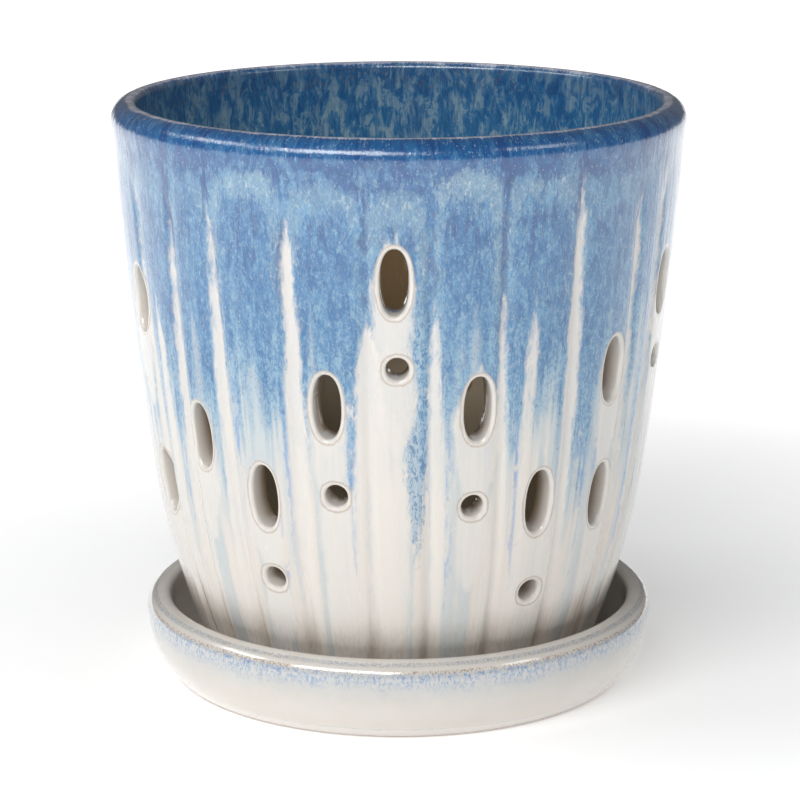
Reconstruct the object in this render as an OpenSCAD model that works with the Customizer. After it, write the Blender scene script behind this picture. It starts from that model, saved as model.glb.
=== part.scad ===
// Orchid pot with slots and its saucer, glazed stoneware.
// Units are millimetres. The table is at z = 0, the pot's axis is Z,
// and the side with the highest slot faces -Y.

/* [Pot] */
// Outside diameter of the pot at its rim
rim_d = 165; // [150:1:200]
// Height of the pot on its own, foot to rim
pot_h = 164; // [150:1:190]
// Thickness of the thrown wall
wall_t = 7.5; // [6:0.5:9]
// Thickness of the pot's floor above the foot recess
floor_t = 8; // [6:0.5:11]
// Radius inside the pot between wall and floor
inner_fillet_r = 12; // [8:1:16]

/* [Wall curve] */
// Height where the nearly straight upper wall meets the rounder lower wall
bend_z = 60; // [50:1:72]
// Outward lean of the wall at that height, in degrees
bend_lean = 7.8; // [6:0.2:9]
// Radius of the upper wall's long curve
upper_r = 1370; // [1200:10:1600]
// Radius of the lower wall's curve
lower_r = 229; // [215:1:260]

/* [Lip] */
// Radius of the lip's round outer shoulder
lip_outer_r = 5.4; // [4:0.2:5.6]

/* [Grooves] */
// Depth of a groove in the lower wall
groove_depth = 1; // [0.6:0.1:1.4]
// Radius of a groove's round bottom
groove_r = 2.2; // [1.8:0.1:3]
// Distance from the rim down to the top of the grooves
groove_top = 9; // [8:1:16]
// Height above the foot where the grooves end
groove_foot = 5; // [4:1:10]
// Turn from the front's grooves, slots and holes to the same set on the back
back_turn = 176; // [172:1:188]

/* [Slots and holes] */
// Clear width of an upright slot
slot_w = 8.4; // [6:0.2:10]
// Clear height of an upright slot
slot_h = 19; // [16:0.5:21]
// Radius of a slot's narrow ends, as a share of half its width
slot_end = 0.76; // [0.6:0.02:0.9]
// Diameter of a round hole
hole_d = 6.8; // [5:0.2:8]

/* [Foot and drain] */
// Height of the recess inside the foot ring
foot_h = 3; // [2:0.5:4]
// Width of the foot ring
foot_w = 8; // [6:0.5:10]
// Number of drain notches cut through the foot ring
notch_n = 3; // [2:1:6]
// Width of a drain notch
notch_w = 10; // [8:1:14]
// Diameter of the drain hole
drain_d = 22; // [14:1:30]

/* [Saucer] */
// Height of the saucer
saucer_h = 24; // [21:1:26]
// Thickness of the saucer's floor
saucer_floor = 6; // [5:0.5:8]
// Thickness of the saucer's wall
saucer_wall = 7.3; // [6:0.1:8]
// Gap between the pot's wall and the saucer's lip
saucer_gap = 5; // [4:0.5:12]
// Radius of the saucer's rounded side
saucer_side_r = 26; // [23:1:34]
// Radius of the saucer lip's outer shoulder
saucer_lip_r = 5; // [4:0.2:5.6]

/* [Hidden] */
$fn = 96;
eps = 0.01;
cut = 3;              // how far a cutter runs past a surface
glaze = "#6f97c8";
cream = "#e3ddd6";

// Grooves pressed in by hand round the front half, at uneven turns from the
// front in degrees (+ is to the right). They leave rounded panels between
// them. The same set, turned by back_turn, is on the back.
GROOVES = [-61.2, -52.1, -38.5, -22.3, -6.2, 6.4, 21.8, 38.2, 56.4, 65.7, 83, 101];

// Slots and holes pierced by hand in the front half: turn from the front,
// height above the foot, and kind. The back has them in the same way.
PIERCED = [
    [ -0.9, 125.7, "slot"], [ -0.3, 101.8, "hole"],
    [-14.8,  90.4, "slot"], [-13.5,  64.9, "hole"],
    [ 16.4,  89.7, "slot"], [ 16.1,  61.7, "hole"],
    [-30.5,  62.4, "slot"], [-30.2,  38.0, "hole"],
    [ 32.1,  60.6, "slot"], [ 32.7,  33.4, "hole"],
    [-47.2,  76.7, "slot"],
    [ 50.4,  95.2, "slot"], [ 51.0,  58.3, "slot"],
    [-68.1, 111.1, "slot"], [-66.4,  58.0, "slot"],
    [ 70.8, 115.5, "slot"], [ 72.0,  93.4, "hole"],
];

// The wall's outside is two arcs that meet at bend_z with one tangent.
// Each arc has its centre on the far side of the axis.
lip_z = pot_h - lip_outer_r;
upper_cz = bend_z + upper_r * sin(bend_lean);
lower_cz = bend_z + lower_r * sin(bend_lean);
upper_cx = rim_d / 2 - sqrt(pow(upper_r, 2) - pow(lip_z - upper_cz, 2));
bend_x = upper_cx + upper_r * cos(bend_lean);
lower_cx = bend_x - lower_r * cos(bend_lean);

// Radius of the surface that lies depth in from the outside, at height z
function wall_x(z, depth = 0) = z > bend_z
    ? upper_cx + sqrt(pow(upper_r - depth, 2) - pow(z - upper_cz, 2))
    : lower_cx + sqrt(pow(lower_r - depth, 2) - pow(z - lower_cz, 2));
// Lean of the wall from upright at height z, in degrees
function wall_lean(z) = z > bend_z
    ? asin((upper_cz - z) / upper_r)
    : asin((lower_cz - z) / lower_r);
// Points up that surface from z0 to z1, in steps equal parts
function wall_points(z0, z1, depth, steps) =
    [for (i = [0:steps]) let (z = z0 + (z1 - z0) * i / steps) [wall_x(z, depth), z]];

lip_inner_r = wall_t - lip_outer_r;
lip_x = rim_d / 2 - lip_outer_r;
floor_z = foot_h + floor_t;
fillet_z = floor_z + inner_fillet_r;
fillet_x = wall_x(fillet_z, wall_t + inner_fillet_r);
fillet_top_z = fillet_z - inner_fillet_r * sin(wall_lean(fillet_z));
fillet_top_x = fillet_x + inner_fillet_r * cos(wall_lean(fillet_z));

saucer_lip_inner_r = saucer_wall - saucer_lip_r;
saucer_bore_x = wall_x(saucer_h - saucer_floor) + saucer_gap;
saucer_x = saucer_bore_x + saucer_wall;
saucer_side_z = saucer_h - saucer_lip_r;
saucer_side_x = saucer_x - saucer_side_r;

// Quarter of a disc of radius r with its corner on the origin
module quarter(r, side = 1) {
    intersection() {
        circle(r = r);
        translate([side > 0 ? 0 : -r - 1, 0]) square(r + 1);
    }
}

// A lip: a wide round shoulder outside and a small one inside, with one crest
module lip_section(x, top, outer_r, inner_r) {
    translate([x, top - outer_r]) quarter(outer_r);
    translate([x, top - inner_r]) quarter(inner_r, -1);
    translate([x - inner_r, top - outer_r - eps])
        square([inner_r + eps, outer_r - inner_r + 2 * eps]);
}

module pot_body_section() {
    polygon(concat(
        [[0, 0]],
        wall_points(0, bend_z, 0, 7),
        wall_points(bend_z + 16, lip_z, 0, 5),
        [[0, lip_z]]));
}

module pot_inside_section() {
    polygon(concat(
        [[0, fillet_top_z]],
        [[fillet_top_x, fillet_top_z]],
        wall_points(fillet_top_z + 7, bend_z, wall_t, 5),
        wall_points(bend_z + 16, lip_z, wall_t, 5),
        [[lip_x - lip_inner_r, lip_z + eps], [0, lip_z + eps]]));
    translate([fillet_x, fillet_z]) circle(r = inner_fillet_r);
    translate([0, floor_z]) square([fillet_x, inner_fillet_r]);
}

module pot_section() {
    difference() {
        pot_body_section();
        pot_inside_section();
        translate([-eps, -eps]) square([wall_x(0) - foot_w, foot_h + eps]);
    }
    lip_section(lip_x, pot_h, lip_outer_r, lip_inner_r);
}

// A groove: a straight round cutter up the nearly straight upper wall,
// which runs out at its top, and a bent one down the lower wall
module groove() {
    z0 = bend_z;
    z1 = pot_h - groove_top;
    x0 = wall_x(z0) + groove_r - groove_depth;
    x1 = wall_x(z1) + groove_r - 0.2;
    lean = atan2(x1 - x0, z1 - z0);
    translate([x0, 0, z0]) rotate([0, lean, 0]) translate([0, 0, -2])
        cylinder(r = groove_r, h = norm([x1 - x0, z1 - z0]) + 2, $fn = 24);
    sweep_r = lower_r + groove_r - groove_depth;
    foot_angle = asin((lower_cz - groove_foot) / lower_r);
    translate([lower_cx, 0, lower_cz]) rotate([90, 0, 0]) rotate([0, 0, -foot_angle])
        rotate_extrude(angle = foot_angle - bend_lean, $fn = 360)
            translate([sweep_r, 0]) circle(r = groove_r, $fn = 24);
}

// An upright oval of four arcs that run into each other
module slot_outline() {
    a = slot_w / 2;
    end_r = slot_end * a;
    b = slot_h / 2 - end_r;
    side_r = (a * a + b * b - end_r * end_r) / (2 * (a - end_r));
    meet_y = b * side_r / (side_r - end_r);
    intersection() {
        translate([side_r - a, 0]) circle(r = side_r);
        translate([a - side_r, 0]) circle(r = side_r);
        square([slot_w, 2 * meet_y], center = true);
    }
    for (s = [-1, 1]) translate([0, s * b]) circle(r = end_r, $fn = 48);
}

// One slot or hole, cut square to the wall at height z
module pierce(z, kind) {
    depth = wall_t + 2 * cut;
    translate([wall_x(z), 0, z]) rotate([0, 90 + wall_lean(z), 0]) rotate([0, 0, 90])
        translate([0, 0, cut - depth])
            if (kind == "slot") linear_extrude(depth) slot_outline();
            else cylinder(d = hole_d, h = depth, $fn = 48);
}

module drain() {
    translate([0, 0, -cut]) cylinder(d = drain_d, h = floor_z + 2 * cut);
    for (i = [0:notch_n - 1]) rotate([0, 0, 90 + i * 360 / notch_n])
        translate([wall_x(0) - foot_w - cut, -notch_w / 2, -cut])
            cube([foot_w + 4 * cut, notch_w, foot_h + cut]);
}

module pot() {
    color(glaze) translate([0, 0, saucer_floor]) difference() {
        rotate_extrude() pot_section();
        for (turn = GROOVES, side = [0, back_turn])
            rotate([0, 0, turn - 90 + side]) groove();
        for (p = PIERCED, side = [0, back_turn])
            rotate([0, 0, p[0] - 90 + side]) pierce(p[1], p[2]);
        drain();
    }
}

module saucer_section() {
    difference() {
        union() {
            intersection() {
                translate([saucer_side_x, saucer_side_z]) circle(r = saucer_side_r, $fn = 180);
                square([saucer_x, saucer_side_z]);
            }
            square([saucer_side_x + eps, saucer_side_z]);
        }
        intersection() {
            translate([saucer_side_x, saucer_side_z])
                circle(r = saucer_side_r - saucer_wall, $fn = 180);
            translate([0, saucer_floor]) square([saucer_x, saucer_h]);
        }
        translate([-eps, saucer_floor]) square([saucer_side_x + 2 * eps, saucer_h]);
    }
    lip_section(saucer_x - saucer_lip_r, saucer_h, saucer_lip_r, saucer_lip_inner_r);
}

module saucer() {
    color(cream) rotate_extrude($fn = 180) saucer_section();
}

saucer();
pot();
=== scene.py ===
"""Looks of a glazed stoneware orchid pot in its saucer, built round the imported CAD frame."""

import math

import bmesh
import bpy
import numpy as np
from bpy.props import FloatProperty, FloatVectorProperty, PointerProperty
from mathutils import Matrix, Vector


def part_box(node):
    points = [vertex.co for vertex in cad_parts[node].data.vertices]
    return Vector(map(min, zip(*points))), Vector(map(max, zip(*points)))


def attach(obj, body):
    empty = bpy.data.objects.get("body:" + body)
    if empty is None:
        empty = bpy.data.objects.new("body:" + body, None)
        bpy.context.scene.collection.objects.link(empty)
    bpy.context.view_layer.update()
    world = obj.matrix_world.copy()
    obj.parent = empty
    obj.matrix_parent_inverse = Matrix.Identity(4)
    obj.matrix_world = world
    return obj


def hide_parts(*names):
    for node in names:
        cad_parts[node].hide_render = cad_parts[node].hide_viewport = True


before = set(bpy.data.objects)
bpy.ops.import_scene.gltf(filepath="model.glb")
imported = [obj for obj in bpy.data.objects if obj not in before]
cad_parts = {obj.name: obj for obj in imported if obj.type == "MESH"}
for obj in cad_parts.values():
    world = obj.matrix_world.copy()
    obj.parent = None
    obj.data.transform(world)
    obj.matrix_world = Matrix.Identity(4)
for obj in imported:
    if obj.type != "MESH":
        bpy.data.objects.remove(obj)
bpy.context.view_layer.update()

bl_info = {
    "name": "Orchid Pot with Slots",
    "version": (1, 0, 0),
    "blender": (4, 5, 0),
    "location": "View3D > Sidebar > Orchid Pot",
    "description": "Builds a glazed stoneware orchid pot, its saucer and a studio stage",
    "category": "Add Mesh",
}

MM = 0.001
POT_LOW, POT_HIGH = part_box("pot")
SAUCER_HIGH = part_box("saucer")[1]

# The pot's wall, in millimetres from its foot, as in the CAD source
FOOT_Z = POT_LOW[2] / MM
RIM_R = POT_HIGH[0] / MM
POT_H = (POT_HIGH[2] - POT_LOW[2]) / MM
WALL_T = 7.5
BEND_Z, BEND_LEAN = 60.0, math.radians(7.8)
UPPER_R, LOWER_R = 1370.0, 229.0
LIP_OUTER_R = 5.4
LIP_INNER_R = WALL_T - LIP_OUTER_R
LIP_Z = POT_H - LIP_OUTER_R
FOOT_H, FLOOR_T, FOOT_W = 3.0, 8.0, 8.0
INNER_FILLET_R = 12.0
DRAIN_R = 11.0
NOTCHES, NOTCH_W = 3, 10.0

# Everything pressed, pierced or run on the front is on the back too, turned
# by BACK_TURN. Turns are in degrees from the front, + to the right. Heights
# are in millimetres above the pot's foot.
BACK_TURN = 176
SIDES = (0, BACK_TURN)

# Each groove's turn at the rim and at the foot: they wander a little
GROOVES = [
    (-65.2, -61.3), (-50.5, -52.3), (-39.2, -37.7), (-22.2, -22.5), (-6.6, -6.0), (5.4, 7.6),
    (19.8, 23.6), (36.8, 39.7), (54.7, 57.4), (65.2, 66.0), (82.5, 83.2), (100.0, 101.2),
]
PANELS = 2 * len(GROOVES)

# Slots and holes: turn, height and kind
PIERCED = [
    (-0.9, 125.7, "slot"), (-0.3, 101.8, "hole"),
    (-14.8, 90.4, "slot"), (-13.5, 64.9, "hole"),
    (16.4, 89.7, "slot"), (16.1, 61.7, "hole"),
    (-30.5, 62.4, "slot"), (-30.2, 38.0, "hole"),
    (32.1, 60.6, "slot"), (32.7, 33.4, "hole"),
    (-47.2, 76.7, "slot"),
    (50.4, 95.2, "slot"), (51.0, 58.3, "slot"),
    (-68.1, 111.1, "slot"), (-66.4, 58.0, "slot"),
    (70.8, 115.5, "slot"), (72.0, 93.4, "hole"),
]

# Panel by panel, from the first groove: the height where the blue glaze
# stopped running, the top of the pale arch and how strongly that shows
BLUE_ENDS = [74, 66, 78, 72, 96, 80, 78, 70, 74, 78, 76, 84]
ARCH_TOPS = [151, 150, 153.5, 151, 150, 154.5, 153, 151, 150, 152, 153, 151]
ARCH_SHOWS = [0.3, 0.25, 1.0, 0.55, 0.7, 0.9, 0.8, 0.25, 0.15, 0.3, 0.8, 0.6]

# Tongues that run down from a pointed top between the blue: turn at their
# top and near the foot, height of their top, and half width once full.
# Where the glaze ran off they are bare cream, elsewhere a pale blue.
BARE_TONGUES = [
    (-65.2, -62.5, 150, 1.2), (-58.8, -57.5, 116, 2.4), (-51.2, -52.2, 136, 1.7),
    (-39.6, -38.2, 145, 2.4), (-21.9, -21.2, 143, 3.0), (-7.4, -3.8, 117, 5.6),
    (6.4, 8.6, 121, 2.1), (20.4, 22.6, 121, 1.9), (27.3, 27.6, 120, 1.9),
    (37.2, 38.6, 151, 2.1), (55.0, 56.6, 142, 1.7), (65.5, 65.6, 148, 1.7),
    (82.9, 83.3, 134, 1.7), (92.0, 92.5, 112, 1.9), (100.6, 101.2, 127, 1.8),
]
PALE_TONGUES = [
    (-45.5, -46.0, 118, 2.6), (-30.8, -30.6, 107, 4.6), (-17.3, -17.6, 121, 1.2),
    (11.9, 11.6, 117, 1.6), (15.0, 15.2, 121, 2.4), (2.6, 2.8, 84, 1.0),
    (31.5, 32.0, 104, 1.6), (46.0, 46.5, 104, 2.4), (60.0, 60.6, 122, 1.6),
    (75.0, 75.5, 104, 2.4), (88.0, 88.4, 124, 2.0), (96.0, 96.5, 106, 2.0),
]

# Blue runs: turn at their top and at their end, the heights of both, and
# half width
BLUE_RUNS = [
    (-62.6, -61.0, 118, 52, 0.7), (-54.8, -54.0, 105, 50, 0.6), (-40.9, -38.8, 118, 42, 0.8),
    (-36.6, -35.5, 100, 62, 0.7), (-24.6, -23.2, 116, 26, 0.9), (-26.8, -26.2, 60, 24, 0.5),
    (-9.9, -9.4, 104, 40, 1.6), (-6.5, -6.1, 70, 20, 0.7), (4.9, 5.4, 112, 52, 1.0),
    (6.3, 7.7, 80, 20, 0.7), (10.6, 10.8, 84, 27, 0.6), (12.3, 11.8, 70, 42, 0.4),
    (19.0, 18.8, 110, 62, 1.0), (25.6, 26.2, 92, 30, 0.8), (28.9, 28.2, 60, 24, 0.4),
    (35.6, 37.6, 104, 36, 0.8), (41.0, 41.6, 110, 66, 1.4), (43.4, 44.2, 84, 27, 0.7),
    (47.2, 47.6, 80, 32, 0.6), (60.6, 62.6, 108, 30, 1.0), (69.0, 68.0, 84, 44, 0.7),
    (77.0, 78.0, 110, 40, 0.8), (88.0, 88.5, 80, 36, 0.7), (96.5, 97.5, 90, 46, 0.8),
    (106.0, 106.5, 110, 30, 1.0),
]
# Where the running glaze curdled: the same numbers
CURDLED = [
    (3.2, 4.4, 114, 44, 4.2), (-10.3, -9.8, 104, 50, 1.5), (-18.8, -19.2, 96, 74, 1.2),
    (42.0, 42.6, 100, 70, 1.4), (0.8, 1.6, 92, 72, 1.6), (62.0, 62.6, 98, 60, 1.5),
    (-61.0, -60.4, 90, 60, 1.5), (86.0, 86.5, 100, 66, 1.8),
]

# The flat sheet that becomes the wall: one panel is PANEL_X wide on it,
# with columns closer together beside a groove, and rows ROW_H apart
PANEL_X = 20.0
HALF_PANEL = [0, 0.03, 0.06, 0.10, 0.15, 0.22, 0.31, 0.41, 0.5]
ACROSS = HALF_PANEL[:-1] + [1 - x for x in reversed(HALF_PANEL[1:])]
COLUMNS = PANELS * len(ACROSS)
ROW_H = 2.0
SHEET_LOW, INNER_LOW = 2.0, 19.0
STRAIGHT_R = 75.0  # radius of the straight cylinder on which glaze patterns are drawn

# Slots and holes in the sheet and in the glaze
SLOT_POWER = 2.25  # 2 would make a slot an ellipse, and more makes it squarer
HOLE_MARGIN = 1.5  # least width of sheet between an opening and its block's border
HOLE_REACH = 12.0  # how far from an opening its edge still counts
WAKE_DROP = 22.0  # length of the bare wake below an opening

# The pale arch in a panel: how far its outer and inner lines lie from the
# grooves, how far below ARCH_TOPS each one starts to turn in, and how high it turns
ARCH_OUTER, ARCH_INNER = (0.8, 9.0, 9.0), (2.9, 19.0, 13.0)
OUTSIDE = -4.0  # a field's value far away from its tongues or runs

# What the glaze needs to know of each point on the pot
FIELDS = (
    "above", "band", "beyond", "arch_show", "bare", "pale", "run", "curd", "pool", "wake",
    "groove", "pierce", "crest", "inside",
)


def linear(colour):
    """sRGB hex to the linear RGBA that Blender's sockets take."""
    channels = [int(colour[i : i + 2], 16) / 255 for i in (1, 3, 5)]
    return [c / 12.92 if c <= 0.04045 else ((c + 0.055) / 1.055) ** 2.4 for c in channels] + [1]


def ease(low, high, value):
    """0 below low, 1 above high, and an even curve between them."""
    share = np.clip((value - low) / (high - low), 0, 1)
    return share * share * (3 - 2 * share)


# The wall's shape. These functions take single numbers or arrays.


def wall_lean(z):
    radius = np.where(z > BEND_Z, UPPER_R, LOWER_R)
    return np.arcsin((BEND_Z + radius * math.sin(BEND_LEAN) - z) / radius)


def wall_x(z):
    """Outside radius of the wall at height z."""
    z = np.clip(z, 0, LIP_Z)
    upper_cz = BEND_Z + UPPER_R * math.sin(BEND_LEAN)
    upper_cx = RIM_R - math.sqrt(UPPER_R**2 - (LIP_Z - upper_cz) ** 2)
    bend_x = upper_cx + UPPER_R * math.cos(BEND_LEAN)
    lower_cx = bend_x - LOWER_R * math.cos(BEND_LEAN)
    radius = np.where(z > BEND_Z, UPPER_R, LOWER_R)
    centre_x = np.where(z > BEND_Z, upper_cx, lower_cx)
    centre_z = BEND_Z + radius * math.sin(BEND_LEAN)
    return centre_x + np.sqrt(radius**2 - (z - centre_z) ** 2)


def wall_point(z, depth):
    """Radius and height of the point that lies depth in from the outside."""
    lean = wall_lean(np.minimum(z, LIP_Z)) * (1 - ease(LIP_Z - 25, LIP_Z, z))
    return wall_x(z) - depth * np.cos(lean), z + depth * np.sin(lean)


def between(top, foot, z):
    """A turn that goes evenly from foot to top up the wall."""
    return foot + (top - foot) * z / LIP_Z


def groove_turns(z):
    """Turns of every groove at height z, from the seam once round to the seam again."""
    front = [between(top, foot, z) for top, foot in GROOVES]
    back = [turn + BACK_TURN for turn in front]
    # The seam is the back's last groove but one, which no slot or hole crosses
    turns = [turn - 360 for turn in back[-2:]] + front + back[:-2]
    return turns + [turns[0] + 360]


def panel_to_turn(u, z):
    """Turn, in degrees, of panel coordinate u: 3.5 is the middle of the fourth panel."""
    turns = groove_turns(z)
    k = min(int(u), PANELS - 1)
    return turns[k] + (turns[k + 1] - turns[k]) * (u - k)


def turn_to_panel(turn, z):
    turns = groove_turns(z)
    turn = (turn - turns[0]) % 360 + turns[0]
    k = max(i for i in range(PANELS) if turns[i] <= turn)
    return k + (turn - turns[k]) / (turns[k + 1] - turns[k])


def pressed_in(s, half, z, sizes):
    """How far a point s from a groove lies below the thrown wall."""
    near = 1 - np.minimum(1, s / half)
    shoulder = LIP_Z - 8 - 6 * near**2
    panel = ease(SHEET_LOW + 1, SHEET_LOW + 9, z) * (1 - ease(shoulder - 9, shoulder, z))
    groove = sizes.groove_depth / MM * (1 - ease(0.2, 2.3, s))
    crown = sizes.panel_crown / MM * near**2.2
    neck = 0.3 * ease(shoulder - 6, shoulder, z) * (1 - ease(LIP_Z - 6, LIP_Z, z))
    return panel * (groove + crown) + neck


def all_holes(sizes):
    """Every slot and hole: turn, height, half width, half height and kind at its outer edge."""
    soft = sizes.edge_radius / MM * 0.8
    halves = {
        "slot": (sizes.slot_width / MM / 2 + soft, sizes.slot_height / MM / 2 + soft),
        "hole": (sizes.hole_diameter / MM / 2 + soft, sizes.hole_diameter / MM / 2 + soft),
    }
    return [(turn + side, z, *halves[kind], kind) for side in SIDES for turn, z, kind in PIERCED]


def oval(phi, a, b, kind):
    """A point on a hole's edge. A slot is a little squarer than an ellipse."""
    power = 2 / (SLOT_POWER if kind == "slot" else 2.0)
    c, s = math.cos(phi), math.sin(phi)
    return math.copysign(abs(c) ** power, c) * a, math.copysign(abs(s) ** power, s) * b


def row_heights():
    rows = round((LIP_Z - SHEET_LOW) / ROW_H)
    return [SHEET_LOW + (LIP_Z - SHEET_LOW) * i / rows for i in range(rows + 1)]


def first_inner_row():
    heights = row_heights()
    return next(lo for lo, hi in zip(heights, heights[1:]) if (lo + hi) / 2 > INNER_LOW)


# Building the pot


def select_edges(mesh, chosen):
    """Selects, in edit mode, only the edges for which chosen(edge) holds."""
    bpy.ops.mesh.select_all(action="DESELECT")
    bm = bmesh.from_edit_mesh(mesh)
    for edge in bm.edges:
        if chosen(edge):
            edge.select_set(True)
    bmesh.update_edit_mesh(mesh)


def draw_rings(path, radius, z, base):
    """Extrudes the selected ring through (radius, height) places round the axis."""
    for next_radius, next_z in path:
        bpy.ops.mesh.extrude_region_move(
            TRANSFORM_OT_translate={"value": (0, 0, (next_z - z) * MM)})
        grow = next_radius / radius
        bpy.ops.transform.resize(
            value=(grow, grow, 1), center_override=(0, 0, (next_z + base) * MM))
        radius, z = next_radius, next_z


def lay_sheet(mesh):
    """Sets the flat grid's columns on the panels and its rows up the wall."""
    heights = row_heights()
    for v in mesh.vertices:
        panel, step = divmod(round((v.co.x + 1) / 2 * COLUMNS), len(ACROSS))
        row = round((v.co.y + 1) / 2 * (len(heights) - 1))
        v.co = ((panel + ACROSS[step]) * PANEL_X, 0, heights[row])


def hole_steps(edge_r):
    """The way from the wall's outside through a hole to its inside.

    Each step is (share of the way from the block's border to the oval,
    how far the oval has shrunk, depth below the outside).
    """
    inner_r = edge_r * 0.8
    quarter = [math.pi / 2 * i / 5 for i in range(1, 6)]
    steps = [(0.45, 0, 0), (0.8, -0.2, 0), (1, 0, 0)]
    steps += [(1, edge_r * math.sin(t), edge_r * (1 - math.cos(t))) for t in quarter]
    steps += [(1, edge_r, WALL_T * 0.45)]
    steps += [(1, edge_r - inner_r * (1 - math.cos(t)), WALL_T - inner_r * (1 - math.sin(t)))
              for t in quarter[::2]]
    return steps + [(0, 0, WALL_T)]


def cut_holes(mesh, sizes):
    """Opens every slot and hole in the flat sheet and lines it to the wall's inside."""
    bm = bmesh.from_edit_mesh(mesh)
    xs = sorted({round(v.co.x, 3) for v in bm.verts})
    zs = sorted({round(v.co.z, 3) for v in bm.verts})
    blocks = []
    for turn, z, a, b, kind in all_holes(sizes):
        reach = math.degrees((a + HOLE_MARGIN) / wall_x(z))
        sides = [turn_to_panel(turn + side * reach, z) * PANEL_X for side in (-1, 1)]
        west, east = max(v for v in xs if v < sides[0]), min(v for v in xs if v > sides[1])
        low = max(v for v in zs if v < z - b - HOLE_MARGIN)
        high = min(v for v in zs if v > z + b + HOLE_MARGIN)
        blocks.append((turn, z, a, b, kind, west, east, low, high))

    bpy.ops.mesh.select_all(action="DESELECT")
    for face in bm.faces:
        c = face.calc_center_median()
        face.select_set(any(w < c.x < e and lo < c.z < hi for *_, w, e, lo, hi in blocks))
    bmesh.update_edit_mesh(mesh)
    bpy.ops.mesh.delete(type="FACE")

    # The wall's inside is the same sheet, one wall's thickness behind
    bm = bmesh.from_edit_mesh(mesh)
    for face in bm.faces:
        face.select_set(face.calc_center_median().z > INNER_LOW)
    bmesh.update_edit_mesh(mesh)
    bpy.ops.mesh.duplicate_move(TRANSFORM_OT_translate={"value": (0, WALL_T, 0)})
    bpy.ops.mesh.flip_normals()

    def round_a_block(edge):
        if not edge.is_boundary or any(abs(v.co.y) > 1e-4 for v in edge.verts):
            return False
        mid = (edge.verts[0].co + edge.verts[1].co) / 2
        return any(w - 0.01 < mid.x < e + 0.01 and lo - 0.01 < mid.z < hi + 0.01
                   for *_, w, e, lo, hi in blocks)

    select_edges(mesh, round_a_block)
    bm = bmesh.from_edit_mesh(mesh)
    start = {}
    for v in bm.verts:
        for block in blocks if v.select else ():
            *_, west, east, low, high = block
            if west - 0.01 < v.co.x < east + 0.01 and low - 0.01 < v.co.z < high + 0.01:
                phi = math.atan2((v.co.z - (low + high) / 2) / (high - low),
                                 (v.co.x - (west + east) / 2) / (east - west))
                start[v.co[:]] = (block, phi, v.co.x, v.co.z)
    for share, shrink, depth in hole_steps(sizes.edge_radius / MM):
        bpy.ops.mesh.extrude_region_move()
        bm = bmesh.from_edit_mesh(mesh)
        moved = {}
        for v in bm.verts:
            if not v.select:
                continue
            block, phi, border_x, border_z = start[v.co[:]]
            turn, z, a, b, kind = block[:5]
            across, up = oval(phi, a - shrink, b - shrink, kind)
            height = z + up * math.cos(wall_lean(z))
            angle = turn + math.degrees(across / wall_x(height))
            x = turn_to_panel(angle, height) * PANEL_X
            v.co.x = border_x + (x - border_x) * share
            v.co.y = depth
            v.co.z = border_z + (height - border_z) * share
            moved[v.co[:]] = (block, phi, border_x, border_z)
        start = moved
        bmesh.update_edit_mesh(mesh)


def roll_lip(mesh):
    """Extrudes the sheet's top edge over the lip and down to the inside."""
    select_edges(mesh, lambda e: e.is_boundary and all(
        abs(v.co.y) < 1e-4 and abs(v.co.z - LIP_Z) < 1e-3 for v in e.verts))
    outer = [math.pi / 2 * i / 9 for i in range(1, 10)]
    inner = [math.pi / 2 * i / 5 for i in range(1, 6)]
    path = [(LIP_OUTER_R * (1 - math.cos(t)), LIP_Z + LIP_OUTER_R * math.sin(t)) for t in outer]
    path += [(LIP_OUTER_R + LIP_INNER_R * math.sin(t), POT_H - LIP_INNER_R * (1 - math.cos(t)))
             for t in inner]
    path += [(WALL_T, LIP_Z)]
    depth, z = 0.0, LIP_Z
    for next_depth, next_z in path:
        bpy.ops.mesh.extrude_region_move(
            TRANSFORM_OT_translate={"value": (0, next_depth - depth, next_z - z)})
        depth, z = next_depth, next_z
    bpy.ops.mesh.select_all(action="SELECT")
    bpy.ops.mesh.remove_doubles(threshold=0.02)


def wrap_round(mesh, sizes):
    """Bends the flat sheet round the pot's axis, presses in the grooves and closes the seam."""
    bm = bmesh.from_edit_mesh(mesh)
    for v in bm.verts:
        u, depth, z = v.co.x / PANEL_X, v.co.y, v.co.z
        k = min(int(u), PANELS - 1)
        turns = groove_turns(z)
        width = math.radians(turns[k + 1] - turns[k]) * wall_x(z)
        s = min(u - k, k + 1 - u) * width
        sunk = depth + pressed_in(s, width / 2, z, sizes) * max(0.0, 1 - depth / WALL_T)
        radius, height = wall_point(z, sunk)
        angle = math.radians(panel_to_turn(u, z))
        place = Vector((radius * math.sin(angle), -radius * math.cos(angle), height + FOOT_Z))
        v.co = place * MM
    bmesh.update_edit_mesh(mesh)
    bpy.ops.mesh.select_all(action="SELECT")
    bpy.ops.mesh.remove_doubles(threshold=0.01 * MM)


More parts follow.
